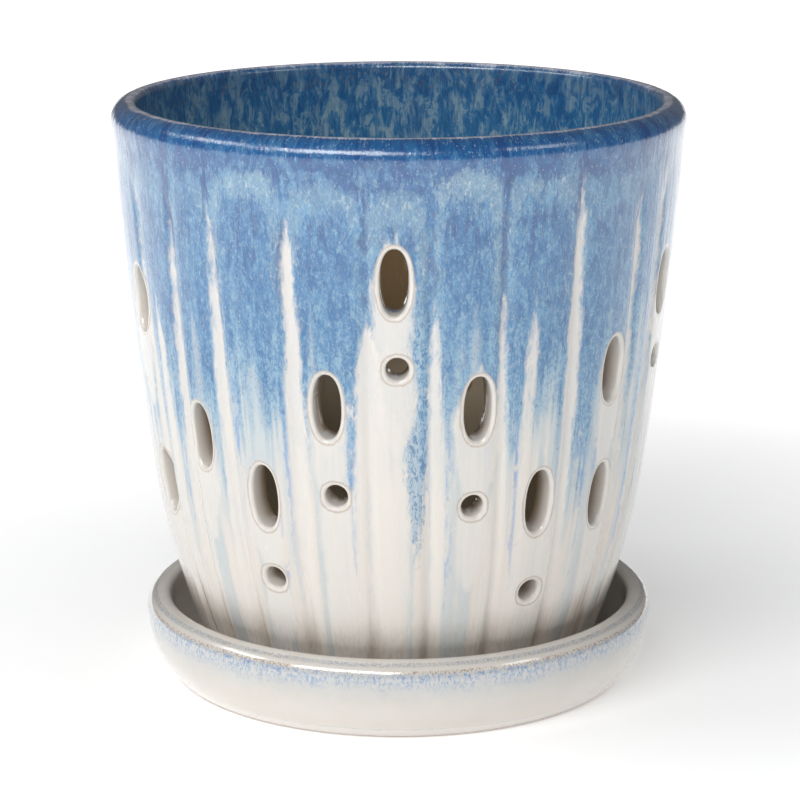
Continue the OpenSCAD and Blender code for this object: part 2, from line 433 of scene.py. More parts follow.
def close_foot(mesh):
    """Draws the wall's lower edge in as foot ring, drain hole, floor and inside corner."""
    floor = FOOT_H + FLOOR_T
    foot_x, foot_in = wall_x(0.0), wall_x(0.0) - FOOT_W
    fillet_z = floor + INNER_FILLET_R
    fillet_x = wall_point(fillet_z, WALL_T + INNER_FILLET_R)[0]
    path = [(foot_x - 0.2, 0.9), (foot_x - 0.7, 0.25), (foot_x - 1.5, 0.0), (foot_x - 4, 0),
            (foot_in + 0.8, 0), (foot_in, 0.8), (foot_in - 0.3, FOOT_H - 0.6),
            (foot_in - 1.2, FOOT_H)]
    path += [(r, FOOT_H) for r in (38, 28, 19)]
    path += [(DRAIN_R + 1, FOOT_H), (DRAIN_R + 0.3, FOOT_H + 0.3), (DRAIN_R, FOOT_H + 1),
             (DRAIN_R, floor - 1.6), (DRAIN_R + 0.5, floor - 0.5), (DRAIN_R + 1.8, floor)]
    path += [(DRAIN_R + 1.8 + (fillet_x - DRAIN_R - 1.8) * i / 5, floor) for i in range(1, 6)]
    sweep = math.pi / 2 - wall_lean(fillet_z)
    turns = [sweep * i / 6 - math.pi / 2 for i in range(1, 6)]
    path += [(fillet_x + INNER_FILLET_R * math.cos(t), fillet_z + INNER_FILLET_R * math.sin(t))
             for t in turns]

    low = (SHEET_LOW + FOOT_Z) * MM
    select_edges(mesh, lambda e: e.is_boundary and all(
        abs(v.co.z - low) < 1e-5 for v in e.verts))
    draw_rings(path, wall_x(SHEET_LOW), SHEET_LOW, FOOT_Z)
    ring_z = (path[-1][1] + FOOT_Z) * MM
    inner_z = (wall_point(first_inner_row(), WALL_T)[1] + FOOT_Z) * MM
    select_edges(mesh, lambda e: e.is_boundary and all(
        min(abs(v.co.z - ring_z), abs(v.co.z - inner_z)) < 1e-5 for v in e.verts))
    bpy.ops.mesh.bridge_edge_loops()


def cut_notches(pot):
    """Cuts the drain notches through the foot ring with loose blocks."""
    reach = wall_x(0.0) - FOOT_W / 2
    for i in range(NOTCHES):
        angle = math.radians(90 + i * 360 / NOTCHES)
        bpy.ops.object.select_all(action="DESELECT")
        bpy.ops.mesh.primitive_cube_add(
            size=1,
            location=(reach * math.cos(angle) * MM, reach * math.sin(angle) * MM,
                      (FOOT_Z - 0.4) * MM),
            rotation=(0, 0, angle),
            scale=((FOOT_W + 9) * MM, NOTCH_W * MM, 2 * (FOOT_H - 0.3) * MM))
        block = bpy.context.object
        cut = pot.modifiers.new("drain notch", "BOOLEAN")
        cut.operation, cut.solver, cut.object = "DIFFERENCE", "EXACT", block
        bpy.context.view_layer.objects.active = pot
        bpy.ops.object.modifier_apply(modifier=cut.name)
        bpy.data.objects.remove(block)


# What the glaze follows: distances, in millimetres, kept on the pot's points


def nearest_groove(turn, z):
    """For every point: which panel of its set it is on, its share across, and the width."""
    turns = np.array(groove_turns(z))
    turn = (turn - turns[0]) % 360 + turns[0]
    panel = np.clip((turns <= turn).sum(axis=0) - 1, 0, PANELS - 1)
    points = np.arange(len(z))
    west, east = turns[panel, points], turns[panel + 1, points]
    width = np.radians(east - west) * wall_x(z)
    return (panel - 2) % len(GROOVES), (turn - west) / (east - west), width


def eased_to_beside(values, panel, share):
    """A value per panel, eased into the next panel's over the groove between them."""
    values = np.array(values, dtype=float)
    beside = np.where(share < 0.5, panel - 1, panel + 1) % len(values)
    blend = 0.5 * (1 - ease(0, 0.4, np.minimum(share, 1 - share)))
    return values[panel] * (1 - blend) + values[beside] * blend


def turn_mm(turn, other, radius):
    """Millimetres round the wall from other to turn, + to the right."""
    return np.radians((turn - other + 180) % 360 - 180) * radius


def fullness(top, z):
    """How full a tongue is at height z: 0 at its pointed top, 1 from 60 mm below it."""
    return ease(0, 14, top - z) * (0.55 + 0.45 * ease(10, 60, top - z))


def tongue_field(tongues, turn, z, radius):
    """How deep a point is inside a tongue, which widens from its pointed top."""
    field = np.full(len(z), OUTSIDE)
    for top_turn, foot_turn, top, wide in tongues:
        halfwidth = np.where(z > top, (top - z) * 0.3, wide * fullness(top, z))
        for side in SIDES:
            middle = between(top_turn, foot_turn, z) + side
            field = np.maximum(field, halfwidth - np.abs(turn_mm(turn, middle, radius)))
    return field


def run_field(runs, turn, z, radius):
    """How deep a point is inside a run of glaze, which thins toward its lower end."""
    field = np.full(len(z), OUTSIDE)
    for top_turn, end_turn, top, end, wide in runs:
        down = np.clip((top - z) / (top - end), 0, 1)
        halfwidth = wide * (1 - down**3) * ease(-0.05, 0.12, down)
        outside = np.maximum(z - top, 0) * 0.4 + np.maximum(end - z, 0) * 0.6
        for side in SIDES:
            middle = top_turn + (end_turn - top_turn) * down + side
            off = np.abs(turn_mm(turn, middle, radius))
            field = np.maximum(field, halfwidth - off - outside)
    return field


def groove_shade_field(turn, z, radius):
    """How deep a point is inside the dark navy line painted as shade in the groove beside a tongue.
    """
    field = np.full(len(z), OUTSIDE)
    for top_turn, foot_turn, top, wide in BARE_TONGUES:
        # The painted groove shade lies only beside a tongue that runs down a groove
        if min(abs(top_turn - groove) for groove, _ in GROOVES) > 2:
            continue
        halfwidth = 0.7 * ease(top - 60, top - 10, z)
        for side in SIDES:
            middle = between(top_turn, foot_turn, z) + side - 0.1
            shift = -(wide * fullness(top, z) + 0.6) * (z < top)
            field = np.maximum(field, halfwidth - np.abs(turn_mm(turn, middle, radius) - shift))
    return field


def pierce_fields(turn, z, radius, sizes):
    """Distance from the nearest opening's edge, and depth inside the bare wake below one."""
    edge, wake = np.full(len(z), HOLE_REACH), np.full(len(z), OUTSIDE)
    for at, height, a, b, _ in all_holes(sizes):
        dx, dz = turn_mm(turn, at, radius), z - height
        near = (np.abs(dx) < a + HOLE_REACH) & (np.abs(dz) < b + HOLE_REACH)
        out = ((np.abs(dx) / a) ** 2.2 + (np.abs(dz) / b) ** 2.2) ** (1 / 2.2)
        away = (out - 1) * np.hypot(dx, dz) / np.maximum(out, 1e-6)
        edge = np.where(near, np.minimum(edge, away), edge)
        below = np.clip(-dz / (b + WAKE_DROP), 0, 1)
        half = (a + 0.9) * (1 - below**3) - np.maximum(dz, 0) * 0.55
        wake = np.maximum(wake, np.where(near | (below < 1), half - np.abs(dx), OUTSIDE))
    return edge, wake


def note_surface(pot, sizes):
    """Stores on the pot's points what its glaze follows."""
    mesh = pot.data
    co = np.empty(len(mesh.vertices) * 3)
    mesh.vertices.foreach_get("co", co)
    x, y, z = co.reshape(-1, 3).T / MM
    z = z - FOOT_Z
    turn = np.degrees(np.arctan2(x, -y))
    low = np.clip(z, 0, LIP_Z)
    wall_r = wall_x(low)
    depth = wall_r - np.hypot(x, y)
    panel, share, width = nearest_groove(turn, low)
    s = np.minimum(share, 1 - share) * width

    # Each line of the pale arch is where its value is 1
    below_top = z - np.array(ARCH_TOPS)[panel]
    outer, inner = (
        ((width / 2 - s) / np.maximum(width / 2 - inset, 1)) ** 4
        + (np.maximum(below_top + drop, 0) / rise) ** 3
        for inset, drop, rise in (ARCH_OUTER, ARCH_INNER))
    edge, wake = pierce_fields(turn, z, wall_r, sizes)

    values = {
        "above": z - eased_to_beside(BLUE_ENDS, panel, share),
        "band": np.minimum(1 - outer, inner - 1) * 4,
        "beyond": (outer - 1) * 3,
        "arch_show": eased_to_beside(ARCH_SHOWS, panel, share),
        "bare": tongue_field(BARE_TONGUES, turn, z, wall_r),
        "pale": tongue_field(PALE_TONGUES, turn, z, wall_r),
        "run": run_field(BLUE_RUNS, turn, z, wall_r),
        "curd": run_field(CURDLED, turn, z, wall_r),
        "pool": groove_shade_field(turn, z, wall_r),
        "wake": wake,
        "groove": s,
        "pierce": edge,
        "crest": np.where(z > LIP_Z, depth - LIP_OUTER_R, np.where(depth > 3, 4.0, -6.0)),
        "inside": np.where(edge < 0.3, ease(2.5, 5.5, depth), ease(5.8, 7.3, depth)),
    }
    for name in FIELDS:
        mesh.attributes.new(name, "FLOAT", "POINT").data.foreach_set("value", values[name])
    angle = np.radians(turn)
    straight = np.stack([STRAIGHT_R * np.sin(angle), -STRAIGHT_R * np.cos(angle), z], axis=1)
    unrolled = mesh.attributes.new("unrolled", "FLOAT_VECTOR", "POINT")
    unrolled.data.foreach_set("vector", straight.ravel())


# Materials


def add_node(tree, kind, inputs=None, out=None, **settings):
    """Adds one node, sets it up, sets or links its inputs, and returns an output."""
    node = tree.nodes.new("ShaderNode" + kind)
    for name, value in settings.items():
        setattr(node, name, value)
    for key, value in (inputs or {}).items():
        enabled = [s for s in node.inputs if s.enabled]
        socket = enabled[key] if isinstance(key, int) else next(s for s in enabled if s.name == key)
        if isinstance(value, bpy.types.NodeSocket):
            tree.links.new(value, socket)
        else:
            socket.default_value = value
    return node.outputs[out] if out else next((s for s in node.outputs if s.enabled), None)


def new_material(name):
    material = bpy.data.materials.new(name)
    material.use_nodes = True
    material.node_tree.nodes.clear()
    return material, material.node_tree


def cloudy_patterns(tree, place, table):
    """Cloudy patterns by name: patches across and down in mm, seed, detail, roughness, warp."""
    patterns = {}
    for name, across, down, seed, detail, rough, warp in table:
        shifted = add_node(tree, "Mapping", {
            "Vector": place, "Location": (seed, seed * 0.7, seed * 1.3),
            "Scale": (1 / across, 1 / across, 1 / down)})
        patterns[name] = add_node(tree, "TexNoise", {
            "Vector": shifted, "Scale": 1.0, "Detail": float(detail), "Roughness": rough,
            "Distortion": warp})
    return patterns


def masks_of(tree, table):
    """Masks by name: 0 where a source has its start value, 1 where it has its full value."""
    return {name: add_node(tree, "MapRange", {
        "Value": source, "From Min": float(start), "From Max": float(full)},
        interpolation_type="SMOOTHSTEP") for name, source, start, full in table}


def painted(tree, colour, masks, tones, layers):
    """Lays coats over colour: the masks each coat shares, how strong it is, and its tone."""
    for names, strength, tone in layers:
        mask = add_node(tree, "Math", {0: masks[names[0]], 1: strength}, operation="MULTIPLY")
        for name in names[1:]:
            mask = add_node(tree, "Math", {0: mask, 1: masks[name]}, operation="MULTIPLY")
        colour = add_node(tree, "Mix", {"Factor": mask, "A": colour, "B": tones[tone]},
                          data_type="RGBA")
    return colour


def glassy_coat(tree, colour, relief, depth_mm, roughness):
    """Fired glaze: colour under a clear, smooth, slightly wavy glass skin."""
    normal = add_node(tree, "Bump", {"Height": relief, "Strength": 0.6, "Distance": depth_mm * MM})
    shader = add_node(tree, "BsdfPrincipled", {
        "Base Color": colour, "Roughness": roughness, "IOR": 1.5, "Normal": normal,
        "Coat Weight": 1.0, "Coat Roughness": 0.05, "Coat IOR": 1.5, "Coat Normal": normal})
    add_node(tree, "OutputMaterial", {"Surface": shader})


# Reactive stoneware glaze, dipped blue over cream and fired hot: it ran down
# in fingers, broke pale on edges and curdled into fine upright flecks under a
# glassy skin. A dark navy line beside some tongues is painted shade in the grooves.
def reactive_glaze(tones):
    material, tree = new_material("reactive blue stoneware glaze")
    field = {name: add_node(tree, "Attribute", attribute_name=name, out="Fac") for name in FIELDS}
    place = add_node(tree, "Attribute", attribute_name="unrolled", out="Vector")
    z = add_node(tree, "SeparateXYZ", {"Vector": place}, out="Z")
    pattern = cloudy_patterns(tree, place, (
        ("cloud", 13, 30, 3.1, 2, 0.5, 0.0), ("fingers", 2.4, 60, 7.7, 4, 0.62, 0.0),
        ("patches", 2.6, 8, 11.3, 6, 0.7, 0.7), ("dashes", 0.75, 3.4, 17.9, 3, 0.65, 0.3),
        ("cells", 0.9, 1.9, 41.7, 4, 0.7, 1.0), ("clumps", 4.2, 7, 53.1, 6, 0.68, 0.6),
        ("drips", 1.3, 9, 61.9, 5, 0.65, 0.3), ("specks", 0.5, 0.9, 23.3, 2, 0.6, 0.3),
        ("tint", 5, 200, 31.0, 1, 0.5, 0.0)))

    # Each field, swung to and fro by patterns, in millimetres
    swung = {}
    for name, source, swings in (
            ("above", field["above"], (("cloud", 64), ("fingers", 84), ("patches", 26))),
            ("high", z, (("cloud", 50), ("patches", 36), ("dashes", 14))),
            ("band", field["band"], (("cloud", 9), ("patches", 22), ("dashes", 9))),
            ("beyond", field["beyond"], (("cloud", 8), ("patches", 16), ("dashes", 6))),
            ("bare", field["bare"], (("cloud", 3), ("patches", 4), ("dashes", 1.6))),
            ("pale", field["pale"], (("patches", 4), ("fingers", 3))),
            ("run", field["run"], (("cloud", 2.0), ("patches", 4.0), ("dashes", 1.6))),
            ("curd", field["curd"], (("patches", 9), ("dashes", 3))),
            ("pool", field["pool"], (("cloud", 5), ("patches", 6), ("dashes", 4))),
            ("wake", field["wake"], (("cloud", 7), ("patches", 6), ("fingers", 5))),
            ("edge", field["pierce"], (("dashes", 0.9),)),
            ("crest", field["crest"], (("cloud", 2.4), ("specks", 2.0)))):
        for swing, reach in swings:
            centred = add_node(tree, "Math", {0: pattern[swing], 1: 0.5}, operation="SUBTRACT")
            source = add_node(tree, "Math", {0: centred, 1: float(reach), 2: source},
                              operation="MULTIPLY_ADD")
        swung[name] = source

    masks = {**field, **masks_of(tree, (
        ("warm", pattern["tint"], 0.4, 0.7), ("haze", swung["above"], -34, 2),
        ("thin", swung["above"], -6, 20), ("blue", swung["above"], 12, 42),
        ("deep", swung["high"], 132, 168), ("beyond", swung["beyond"], -0.6, 1.6),
        ("up", swung["high"], 96, 144), ("band", swung["band"], -1.4, 2.0),
        ("band_up", z, 104, 134), ("under", field["band"], -0.5, -3.0),
        ("dribble", pattern["dashes"], 0.48, 0.62), ("dribble_on", z, 112, 132),
        ("dribble_off", z, 156, 146), ("patched", pattern["patches"], 0.49, 0.58),
        ("faded", pattern["patches"], 0.49, 0.40), ("lit", pattern["specks"], 0.60, 0.70),
        ("clumped", pattern["clumps"], 0.5, 0.56),
        ("bald", pattern["clumps"], 0.49, 0.43), ("dripped", pattern["drips"], 0.5, 0.56),
        ("drip_on", swung["high"], 118, 140),
        ("squiggle", pattern["cells"], 0.51, 0.57), ("pearl", pattern["cells"], 0.46, 0.38),
        ("dim", pattern["specks"], 0.46, 0.32), ("bare", swung["bare"], -0.9, 1.0),
        ("pale", swung["pale"], -0.8, 1.2), ("run", swung["run"], -0.5, 0.6),
        ("curd", swung["curd"], -0.6, 1.4), ("pool", swung["pool"], -0.4, 0.5),
        ("wake", swung["wake"], -1.0, 1.6), ("rim_on", swung["edge"], 0.55, 0.2),
        ("rim_off", swung["edge"], -0.35, 0.0), ("lip_of_hole", field["pierce"], 0.55, 0.0),
        ("foot", z, 30, 14), ("by_groove", field["groove"], 4, 0.4),
        ("crest_on", swung["crest"], -1.5, -0.7), ("crest_off", swung["crest"], 1.5, 0.9),
        ("lip", z, 152, 160), ("lip_zone", z, 147, 156)))}
    colour = painted(tree, tones["cream"], masks, tones, (
        (("warm",), 0.5, "warm"),
        (("haze",), 0.8, "haze"),
        (("run",), 0.85, "run"),
        (("thin",), 0.85, "thin"),
        (("blue",), 0.9, "blue"),
        (("thin", "faded"), 0.4, "thin"),
        (("blue", "patched"), 0.65, "deep"),
        (("thin", "squiggle"), 0.55, "deep"),
        (("thin", "pearl"), 0.5, "arch"),
        (("deep",), 0.35, "deep"),
        (("beyond", "up", "thin"), 0.4, "deep"),
        (("beyond", "up", "patched"), 0.4, "deep"),
        (("beyond", "up", "dribble"), 0.55, "navy"),
        (("thin", "clumped", "up"), 0.5, "deep"),
        (("thin", "bald", "up"), 0.4, "thin"),
        (("under", "dripped", "drip_on", "dribble_off"), 0.6, "navy"),
        (("under", "dribble", "dribble_on", "dribble_off"), 0.5, "deep"),
        (("lip_zone", "clumped"), 0.6, "navy"),
        (("lip_zone", "bald", "pearl"), 0.5, "arch"),
        (("lip",), 0.6, "deep"),
        (("lip", "patched"), 0.55, "navy"),
        (("deep", "dribble"), 0.35, "navy"),
        (("pale",), 0.6, "haze"),
        (("band", "band_up", "arch_show"), 0.6, "arch"),
        (("band", "band_up", "arch_show", "pearl"), 0.7, "haze"),
        (("band", "band_up", "patched"), 0.3, "blue"),
        (("thin", "lit"), 0.35, "haze"),
        (("thin", "dim"), 0.4, "deep"),
        (("deep", "lit"), 0.4, "thin"),
        (("curd",), 0.6, "thin"),
        (("curd", "squiggle"), 0.65, "deep"),
        (("curd", "pearl"), 0.6, "haze"),
        (("wake",), 0.85, "cream"),
        # Painted shade: a dark navy line down the groove beside a tongue
        (("pool", "up"), 0.55, "navy"),
        (("bare",), 0.85, "bare"),
        # Brown specks near the foot, and painted shade down its grooves, growing darker towards the
        # bottom
        (("foot", "by_groove"), 0.3, "rust_and_shade"),
        (("foot", "dribble"), 0.2, "rust_and_shade"),
        (("lip_of_hole",), 0.9, "cream"),
        (("rim_on", "rim_off"), 0.45, "rust_and_shade"),
    ))

    # Inside, the blue ran thinner over a tan wall, which is painted dark brown as the shade inside
    # the pot, and pooled under the lip
    within = painted(tree, tones["buff_and_shade"], {**masks, **masks_of(tree, (
        ("wet", swung["high"], 112, 138), ("pooled", swung["high"], 138, 168),
        ("low", z, 84, 60), ("in_hole", field["pierce"], 0.2, -0.4),
        ("olive", z, 154, 158)))}, tones, (
        (("low",), 0.95, "clay"),
        (("wet",), 0.95, "blue"),
        (("wet", "patched"), 0.5, "deep"),
        (("wet", "bald"), 0.7, "arch"),
        (("wet", "faded"), 0.5, "arch"),
        (("wet", "dripped"), 0.5, "deep"),
        (("pooled",), 0.5, "deep"),
        (("pooled", "clumped"), 0.5, "navy"),
        (("olive", "pearl"), 0.35, "buff_and_shade"),
        # Painted shade deep in the holes
        (("in_hole",), 0.75, "rust_and_shade"),
    ))
    colour = add_node(tree, "Mix", {"Factor": field["inside"], "A": colour, "B": within},
                      data_type="RGBA")
    # The pale line on the lip's crest: glaze thinned pale on the edge, with a painted highlight
    # over it
    colour = painted(tree, colour, masks, tones, (
        (("crest_on", "crest_off", "lip"), 0.55, "crest"),
        (("crest_on", "crest_off", "lip", "bald"), 0.7, "crest"),
    ))

    relief = add_node(tree, "Math", {0: pattern["cloud"], 1: 3.0, 2: pattern["fingers"]},
                      operation="MULTIPLY_ADD")
    relief = add_node(tree, "Math", {0: pattern["clumps"], 1: 0.8, 2: relief},
                      operation="MULTIPLY_ADD")
    relief = add_node(tree, "Math", {0: pattern["specks"], 1: 0.12, 2: relief},
                      operation="MULTIPLY_ADD")
    rough = add_node(tree, "MapRange", {
        "Value": pattern["patches"], "To Min": 0.16, "To Max": 0.34})
    glassy_coat(tree, colour, relief, 0.35, rough)
    return material


# Bare stoneware where the foot was wiped clean: dry, buff and finely gritty
def bare_stoneware(tones):
    material, tree = new_material("bare fired stoneware")
    place = add_node(tree, "TexCoord", out="Object")
    place = add_node(tree, "Mapping", {"Vector": place, "Scale": (1 / MM, 1 / MM, 1 / MM)})
    grit = cloudy_patterns(tree, place, (("grit", 0.6, 0.6, 5.0, 4, 0.65, 0.0),))["grit"]
    dark = add_node(tree, "MapRange", {"Value": grit, "From Min": 0.45, "From Max": 0.7})
    colour = add_node(tree, "Mix", {"Factor": dark, "A": tones["clay"], "B": tones["rust_and_shade"]},
                      data_type="RGBA")
    normal = add_node(tree, "Bump", {"Height": grit, "Strength": 0.5, "Distance": 0.15 * MM})
    shader = add_node(tree, "BsdfPrincipled", {
        "Base Color": colour, "Roughness": 0.85, "Normal": normal})
    add_node(tree, "OutputMaterial", {"Surface": shader})
    return material


# Cream stoneware glaze on the saucer: glossy, warm where thin, and painted
# warmer and darker towards the foot as shade. Blue from the pot's glaze caught
# round its rim, in a speckled line over a band of flecks.
def cream_glaze(tones):
    material, tree = new_material("cream stoneware glaze")
    down = add_node(tree, "Attribute", attribute_name="down", out="Fac")
    place = add_node(tree, "TexCoord", out="Object")
    place = add_node(tree, "Mapping", {"Vector": place, "Scale": (1 / MM, 1 / MM, 1 / MM)})
    pattern = cloudy_patterns(tree, place, (
        ("cloud", 12, 16, 2.0, 2, 0.5, 0.0), ("patches", 4, 5, 6.3, 3, 0.6, 0.3),
        ("flecks", 0.8, 1.5, 9.0, 4, 0.65, 0.8), ("specks", 0.5, 0.7, 14.0, 2, 0.6, 0.2)))
    way = down
    for swing, reach in (("patches", 5.0), ("flecks", 5.0)):
        centred = add_node(tree, "Math", {0: pattern[swing], 1: 0.5}, operation="SUBTRACT")
        way = add_node(tree, "Math", {0: centred, 1: reach, 2: way}, operation="MULTIPLY_ADD")
    masks = masks_of(tree, (
        ("warm", pattern["cloud"], 0.42, 0.7), ("line_on", down, 1.7, 2.3),
        ("line_off", down, 3.9, 3.1), ("tan_on", down, 4.6, 5.0), ("tan_off", down, 6.0, 5.4),
        ("band_on", down, 5.2, 6.2), ("band_off", way, 12.5, 7.0), ("faint_off", way, 17, 9),
        ("flecked", pattern["flecks"], 0.46, 0.6), ("speckled", pattern["specks"], 0.46, 0.6),
        ("spare", pattern["patches"], 0.56, 0.46), ("low_shade", down, 19, 24),
        ("foot", down, 26.4, 27.2)))
    colour = painted(tree, tones["cream"], masks, tones, (
        (("warm",), 0.2, "warm"),
        # Painted shade: warmer and darker towards the foot, where the wall turns under
        (("low_shade",), 0.4, "warm"),
        (("band_on", "faint_off"), 0.4, "haze"),
        (("band_on", "band_off", "flecked"), 0.6, "run"),
        (("band_on", "band_off", "flecked", "speckled"), 0.7, "run"),
        (("line_on", "line_off"), 0.35, "haze"),
        (("line_on", "line_off", "speckled"), 0.45, "rust_and_shade"),
        (("line_on", "line_off", "spare", "flecked"), 0.35, "run"),
        (("tan_on", "tan_off", "speckled"), 0.7, "rust_and_shade"),
        (("foot",), 0.9, "rust_and_shade"),
    ))
    relief = add_node(tree, "Math", {0: pattern["flecks"], 1: 0.1, 2: pattern["cloud"]},
                      operation="MULTIPLY_ADD")
    glassy_coat(tree, colour, relief, 0.3, 0.2)
    return material


# Operators


def finish_piece(obj, name, node, smooth_angle):
    """Names a finished piece, smooths it and hands it to the frame."""
    obj.name = name
    obj.data.name = name
    bpy.ops.object.select_all(action="DESELECT")
    obj.select_set(True)
    bpy.context.view_layer.objects.active = obj
    bpy.ops.object.shade_smooth_by_angle(angle=math.radians(smooth_angle))
    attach(obj, node)
    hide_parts(node)


def length_property(name, description, default, least, most):
    """A length in the panel, given in millimetres."""
    return FloatProperty(name=name, description=description, default=default * MM,
                         min=least * MM, max=most * MM, unit="LENGTH")


def tone_property(name, description, colour):
    """A colour in the panel, given as sRGB hex."""
    return FloatVectorProperty(name=name, description=description, default=linear(colour),
                               size=4, min=0, max=1, subtype="COLOR")


class OrchidPotSizes(bpy.types.PropertyGroup):
    """Sizes of the slots, holes and grooves."""

    slot_width: length_property(
        "Slot width", "Clear width of an upright slot", 8.4, 6, 10)
    slot_height: length_property(
        "Slot height", "Clear height of an upright slot", 19, 16, 21)
    hole_diameter: length_property(
        "Hole diameter", "Clear diameter of a round hole", 6.8, 5, 8)
    edge_radius: length_property(
        "Edge radius", "Softening of a pierced edge under the glaze", 1.2, 0.6, 1.5)
    groove_depth: length_property(
        "Groove depth", "Depth of the grooves between the panels", 0.7, 0, 1.4)
    panel_crown: length_property(
        "Panel crown", "How much each panel swells between its grooves", 0.5, 0, 1)


class OrchidPotTones(bpy.types.PropertyGroup):
    """Colours of the glazes and the clay."""

    cream: tone_property("Cream", "Cream glaze", "#dfdad3")
    # Warm cream also serves as painted shade low on the saucer
    warm: tone_property("Warm cream", "Cream glaze where it is thin", "#d9cdc1")
    bare: tone_property("Bare tongues", "Tongues where the blue ran off", "#e2dcd4")
    haze: tone_property("Haze", "Thinnest blue over the cream", "#b8c4c9")
    thin: tone_property("Thin blue", "Thin blue glaze", "#77a4c1")
    blue: tone_property("Blue", "Blue glaze", "#397aa9")
    deep: tone_property("Deep blue", "Thick blue glaze", "#1c5e95")
    navy: tone_property("Navy", "Blue glaze where it pooled", "#103d78")
    arch: tone_property("Arches", "Pale arch at the top of a panel", "#94b0bb")
    run: tone_property("Runs", "Thin runs of blue over the cream", "#7498c8")
    # Iron brown also serves as painted shade: down the grooves near the foot and deep in the holes
    rust_and_shade: tone_property("Iron brown", "Edges where the glaze broke brown", "#97785a")
    # The crest's pale tone is partly a painted highlight
    crest: tone_property("Crest", "Pale crest of the lip", "#e6e6f4")
    # Buff is a tan wall painted darker, as the shade inside the pot
    buff_and_shade: tone_property("Buff", "Inside wall below the blue", "#80694a")
    clay: tone_property("Clay", "Bare clay under the foot", "#dccbb0")


def chosen_tones(scene):
    """The colours set in the panel, by name."""
    return {name: tuple(getattr(scene.orchid_pot_tones, name))
            for name in OrchidPotTones.__annotations__}


class ORCHIDPOT_OT_pot(bpy.types.Operator):
    """Build the pierced pot with its lip, panels, foot and drain"""

    bl_idname = "orchidpot.pot"
    bl_label = "Build Pot"

    def execute(self, context):
        sizes = context.scene.orchid_pot_sizes
        tones = chosen_tones(context.scene)
        bpy.ops.object.select_all(action="DESELECT")
        bpy.ops.mesh.primitive_grid_add(
            x_subdivisions=COLUMNS, y_subdivisions=len(row_heights()) - 1, size=2)
        pot = context.object
        lay_sheet(pot.data)
        bpy.ops.object.mode_set(mode="EDIT")
        bpy.ops.mesh.select_mode(type="EDGE")
        cut_holes(pot.data, sizes)
        roll_lip(pot.data)
        wrap_round(pot.data, sizes)
        close_foot(pot.data)
        bpy.ops.mesh.select_all(action="SELECT")
        bpy.ops.mesh.normals_make_consistent(inside=False)
        bpy.ops.object.mode_set(mode="OBJECT")
        cut_notches(pot)
        note_surface(pot, sizes)
        pot.data.materials.append(reactive_glaze(tones))
        pot.data.materials.append(bare_stoneware(tones))
        wiped = (FOOT_Z + FOOT_H + 0.2) * MM
        for face in pot.data.polygons:
            face.material_index = int(face.center.z < wiped and abs(face.normal.z) > 0.3)
        finish_piece(pot, "pot_body", "pot", 50)
        return {"FINISHED"}


def saucer_rings():
    """Radius and height of each ring from under the saucer's middle round to its floor."""
    top, edge = SAUCER_HIGH[2] / MM, SAUCER_HIGH[0] / MM
    floor, wall, side_r, lip_r = 6.0, 7.3, 26.0, 5.0
    inner_lip_r, inner_r = wall - lip_r, side_r - wall
    side_z, side_x, lip_x = top - lip_r, edge - side_r, edge - lip_r
    foot_angle = math.asin(side_z / side_r)
    foot_x = side_x + side_r * math.cos(foot_angle)
    floor_angle = math.asin((side_z - floor) / inner_r)
    rings = [(side_x + (foot_x - 1.2 - side_x) * i / 4, 0) for i in range(1, 5)]
    rings += [(foot_x - 0.35, 0.2)]
    rings += [(side_x + side_r * math.cos(a), side_z - side_r * math.sin(a))
              for a in [foot_angle * 0.97 * (1 - i / 24) for i in range(25)]]
    rings += [(lip_x + lip_r * math.cos(a), side_z + lip_r * math.sin(a))
              for a in [math.pi / 2 * i / 14 for i in range(1, 15)]]
    rings += [(lip_x - inner_lip_r * math.sin(a), top - inner_lip_r * (1 - math.cos(a)))
              for a in [math.pi / 2 * i / 6 for i in range(1, 7)]]
    rings += [(side_x + inner_r * math.cos(a), side_z - inner_r * math.sin(a))
              for a in [floor_angle * i / 12 for i in range(13)]]
    last = rings[-1][0]
    return side_x, rings + [(last * (1 - i / 6), floor) for i in range(1, 6)]


def note_rim_distance(saucer, rings):
    """Stores on the saucer's points how far each lies down from the rim's crest."""
    mesh = saucer.data
    heights = [z for _, z in rings]
    crest = heights.index(max(heights))
    way = [0.0]
    for (r0, z0), (r1, z1) in zip(rings[crest::-1], rings[crest - 1::-1]):
        way.append(way[-1] + math.hypot(r1 - r0, z1 - z0))
    outer = np.array(rings[crest::-1])
    co = np.empty(len(mesh.vertices) * 3)
    mesh.vertices.foreach_get("co", co)
    x, y, z = co.reshape(-1, 3).T / MM
    radius = np.hypot(x, y)
    nearest = np.empty(len(z))
    for i in range(len(z)):
        nearest[i] = np.argmin((outer[:, 0] - radius[i]) ** 2 + (outer[:, 1] - z[i]) ** 2)
    down = np.array(way)[nearest.astype(int)]
    inside = radius < outer[0, 0] - 0.3
    down = np.where(inside & (z > 1), -4.0, down)
    mesh.attributes.new("down", "FLOAT", "POINT").data.foreach_set("value", down)


